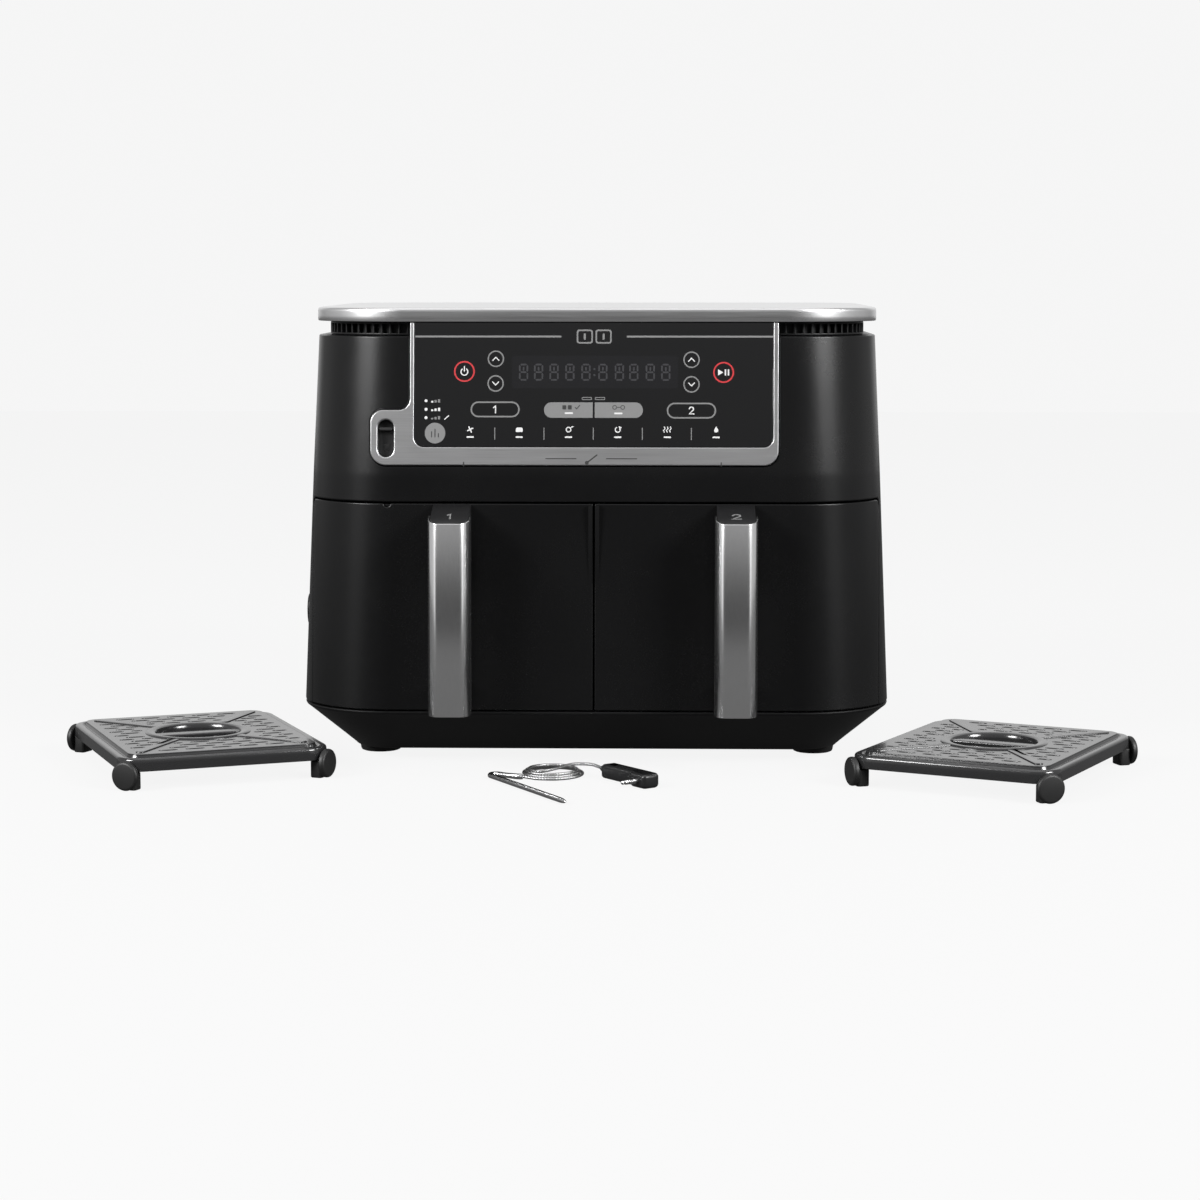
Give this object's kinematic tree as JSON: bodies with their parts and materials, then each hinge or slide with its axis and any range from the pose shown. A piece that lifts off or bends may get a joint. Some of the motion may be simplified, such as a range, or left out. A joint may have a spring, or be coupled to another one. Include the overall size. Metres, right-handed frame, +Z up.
{
  "type": "air fryer",
  "caption": "Countertop air fryer with side-by-side slide-out baskets, bar handles, a sloping touch panel and steel top, laid out with its crisper plates and cabled food probe.",
  "frame": {"origin": "on the floor, at the middle of the footprint of the appliance with its two crisper plates and probe rod; the appliance itself is centred on x = 0", "axes": "+X to the viewer's right across the front, -Y out of the front (handles and panel), +Z up"},
  "size_m": [0.7888, 0.4954, 0.33],
  "materials": {
    "housing": "satin moulded black",
    "base": "fine texture black",
    "steel": "brushed",
    "bezel": "satin silver",
    "panel": "high gloss",
    "coating": "nonstick coating",
    "cavity": "mill finish sheet",
    "heater": "oxidised tube",
    "rubber": "matt",
    "grip": "fine texture black",
    "board": "circuit board",
    "motor": "zinc plated"
  },
  "bodies": {
    "appliance": {"base_pan": "base", "foot_front_left": "rubber", "foot_front_right": "rubber", "foot_rear_left": "rubber", "foot_rear_right": "rubber", "housing_shell": "housing", "rear_cover": "housing", "cord_gland": "rubber", "intake_grille": "base", "top_plate": "steel", "control_bezel": "bezel", "control_panel": "panel", "display_module": "board", "control_board": "board", "probe_socket": "grip", "front_frame": "base", "cavity_left": "cavity", "cavity_right": "cavity", "heater_left": "heater", "heater_right": "heater", "heater_guard_left": "cavity", "heater_guard_right": "cavity", "motor_left": "motor", "motor_right": "motor", "heat_deck": "cavity", "power_board": "board"},
    "drawer_left": {"drawer_front_left": "housing", "drawer_panel_left": "base", "basket_left": "coating", "handle_grip_left": "steel", "handle_core_left": "grip"},
    "drawer_right": {"drawer_front_right": "housing", "drawer_panel_right": "base", "basket_right": "coating", "handle_grip_right": "steel", "handle_core_right": "grip"},
    "fan_left": {"convection_fan_left": "cavity", "fan_shaft_left": "steel", "cooling_fan_left": "grip"},
    "fan_right": {"convection_fan_right": "cavity", "fan_shaft_right": "steel", "cooling_fan_right": "grip"},
    "socket_cover": {"socket_cover": "grip"},
    "probe_caddy": {"probe_caddy": "base"},
    "crisper_left": {"crisper_plate_left": "coating", "bumper_left_front_left": "rubber", "bumper_left_front_right": "rubber", "bumper_left_rear_left": "rubber", "bumper_left_rear_right": "rubber"},
    "crisper_right": {"crisper_plate_right": "coating", "bumper_right_front_left": "rubber", "bumper_right_front_right": "rubber", "bumper_right_rear_left": "rubber", "bumper_right_rear_right": "rubber"},
    "probe": {"probe_rod": "steel", "probe_cable_coil": "steel", "probe_cable": "steel", "probe_plug": "grip", "probe_pin": "steel"}
  },
  "joints": [
    {"name": "drawer_left_slide", "type": "slide", "parent": "appliance", "child": "drawer_left", "axis": [0, -1, 0], "range_m": [0, 0.26]},
    {"name": "drawer_right_slide", "type": "slide", "parent": "appliance", "child": "drawer_right", "axis": [0, -1, 0], "range_m": [0, 0.26]},
    {"name": "fan_left_spin", "type": "hinge", "parent": "appliance", "child": "fan_left", "pos_m": [-0.0995, 0.04268, 0.25], "axis": [0, 0, 1], "continuous": true},
    {"name": "fan_right_spin", "type": "hinge", "parent": "appliance", "child": "fan_right", "pos_m": [0.0995, 0.04268, 0.25], "axis": [0, 0, 1], "continuous": true},
    {"name": "socket_cover_slide", "type": "slide", "parent": "appliance", "child": "socket_cover", "axis": [0, -0.1203, -0.9927], "range_m": [0, 0.01]},
    {"name": "probe_caddy_slide", "type": "slide", "parent": "appliance", "child": "probe_caddy", "axis": [-1, 0, 0], "range_m": [0, 0.03]},
    {"name": "crisper_left_lift", "type": "slide", "parent": "appliance", "child": "crisper_left", "axis": [0, 0, 1], "range_m": [0, 0.25]},
    {"name": "crisper_right_lift", "type": "slide", "parent": "appliance", "child": "crisper_right", "axis": [0, 0, 1], "range_m": [0, 0.25]},
    {"name": "probe_lift", "type": "slide", "parent": "appliance", "child": "probe", "axis": [0, 0, 1], "range_m": [0, 0.25]}
  ]
}
